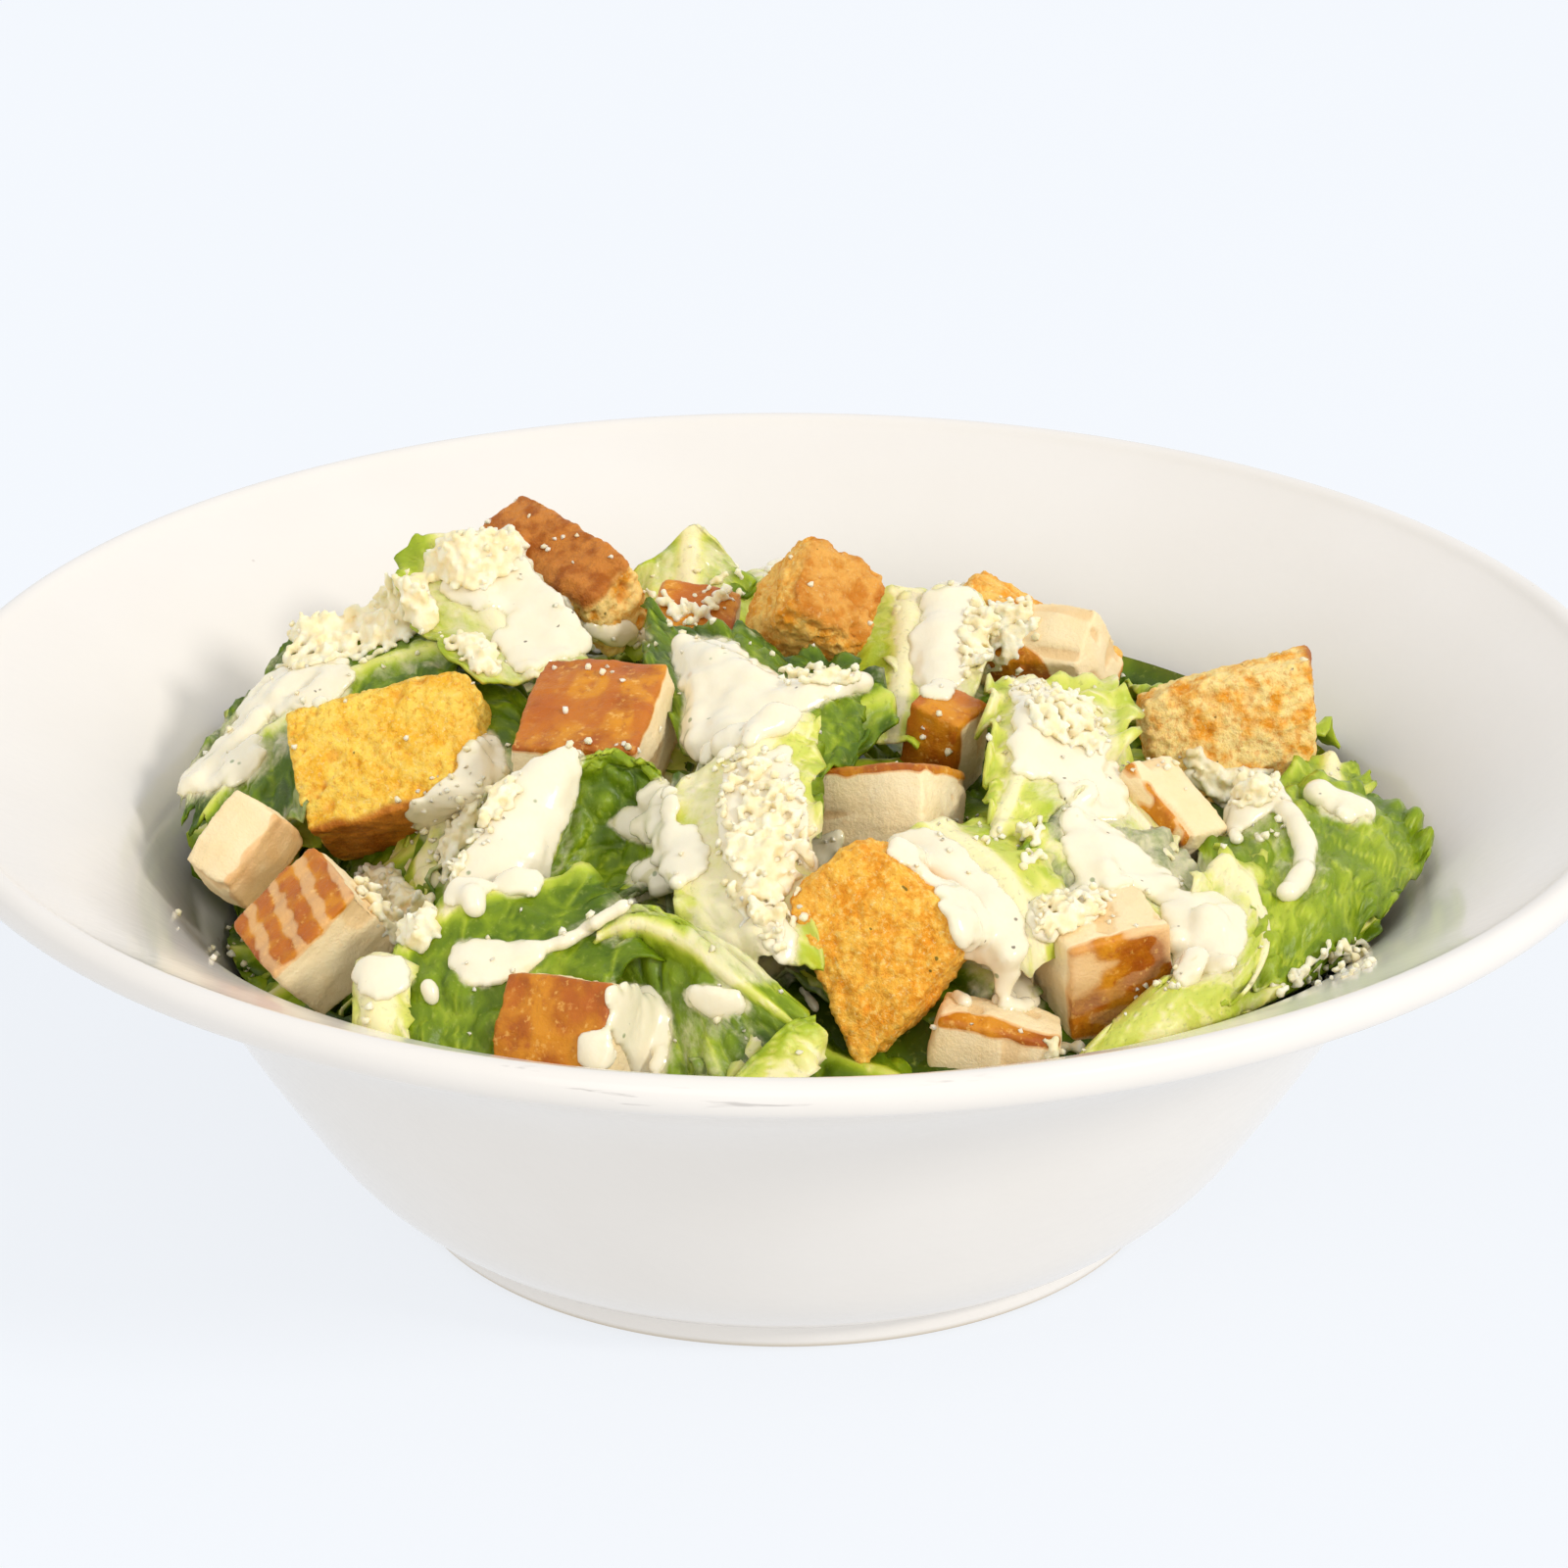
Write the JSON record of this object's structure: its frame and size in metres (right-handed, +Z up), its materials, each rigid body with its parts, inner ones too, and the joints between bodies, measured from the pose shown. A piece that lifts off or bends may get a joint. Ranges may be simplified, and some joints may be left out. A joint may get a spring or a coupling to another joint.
{
  "type": "chicken caesar salad in bowl",
  "caption": "Chicken caesar salad: grilled chicken cubes, croutons, torn romaine, thick dressing and grated cheese heaped in a round, wide-rimmed stoneware bowl",
  "frame": {"origin": "centre of the foot ring's underside", "axes": "+Z up along the bowl's axis; -Y towards the side shown, +X to its right"},
  "size_m": [0.24, 0.24, 0.094],
  "materials": {
    "glazed_bowl": "glossy off-white stoneware glaze",
    "chicken": "moist grilled chicken breast, browned on one side",
    "crouton": "dry toasted bread, golden crumb and brown crust",
    "romaine": "wet torn romaine leaves with cream dressing and grated parmesan"
  },
  "bodies": {
    "root": {"bowl": "glazed_bowl", "chicken_1": "chicken", "chicken_2": "chicken", "chicken_3": "chicken", "chicken_4": "chicken", "chicken_5": "chicken", "chicken_6": "chicken", "chicken_7": "chicken", "chicken_8": "chicken", "chicken_9": "chicken", "chicken_10": "chicken", "chicken_11": "chicken", "crouton_1": "crouton", "crouton_2": "crouton", "crouton_3": "crouton", "crouton_4": "crouton", "crouton_5": "crouton", "crouton_6": "crouton", "romaine_salad": "romaine"}
  },
  "joints": []
}
